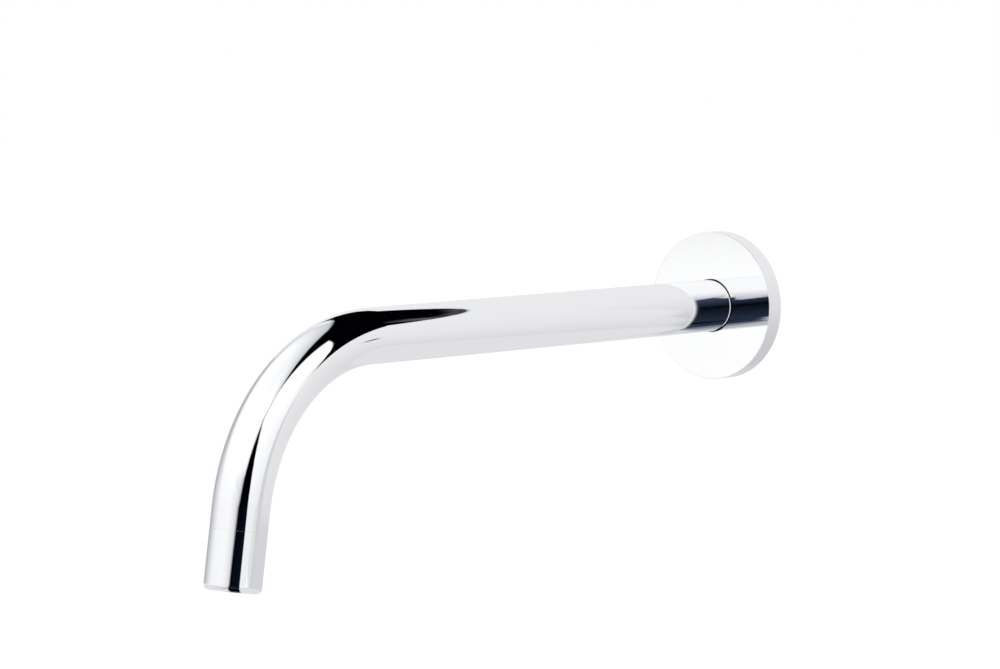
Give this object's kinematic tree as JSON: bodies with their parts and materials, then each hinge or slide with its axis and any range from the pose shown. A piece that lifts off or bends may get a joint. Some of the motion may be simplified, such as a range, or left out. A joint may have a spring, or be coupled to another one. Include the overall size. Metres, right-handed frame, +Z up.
{
  "type": "wall spout",
  "caption": "Chrome wall spout: a level round tube out of a flat round cover flange, turned down through one wide bend to a short end sleeve with an aerator.",
  "frame": {"origin": "where the tube's axis meets the wall plane, at the root of the nipple's thread", "axes": "+Z up, +Y into the wall along the thread, -Y out into the room along the level run of the tube"},
  "size_m": [0.063, 0.3254, 0.1236],
  "materials": {
    "chrome": "polished chrome plate on brass",
    "brass": "turned brass",
    "rubber": "black sealing rubber",
    "foam": "closed-cell foam rubber",
    "grey_plastic": "moulded grey plastic",
    "white_plastic": "moulded off-white plastic",
    "steel": "plain stainless steel"
  },
  "bodies": {
    "root": {"spout_tube": "chrome", "outlet_sleeve": "chrome", "wall_flange": "chrome", "inlet_bush": "brass", "inlet_nipple": "brass", "nipple_o_rings": "rubber", "flange_o_ring": "rubber", "wall_gasket": "foam", "aerator_body": "grey_plastic", "aerator_diffuser": "white_plastic", "aerator_filter": "white_plastic", "aerator_seal": "rubber", "set_screw": "steel"}
  },
  "joints": []
}
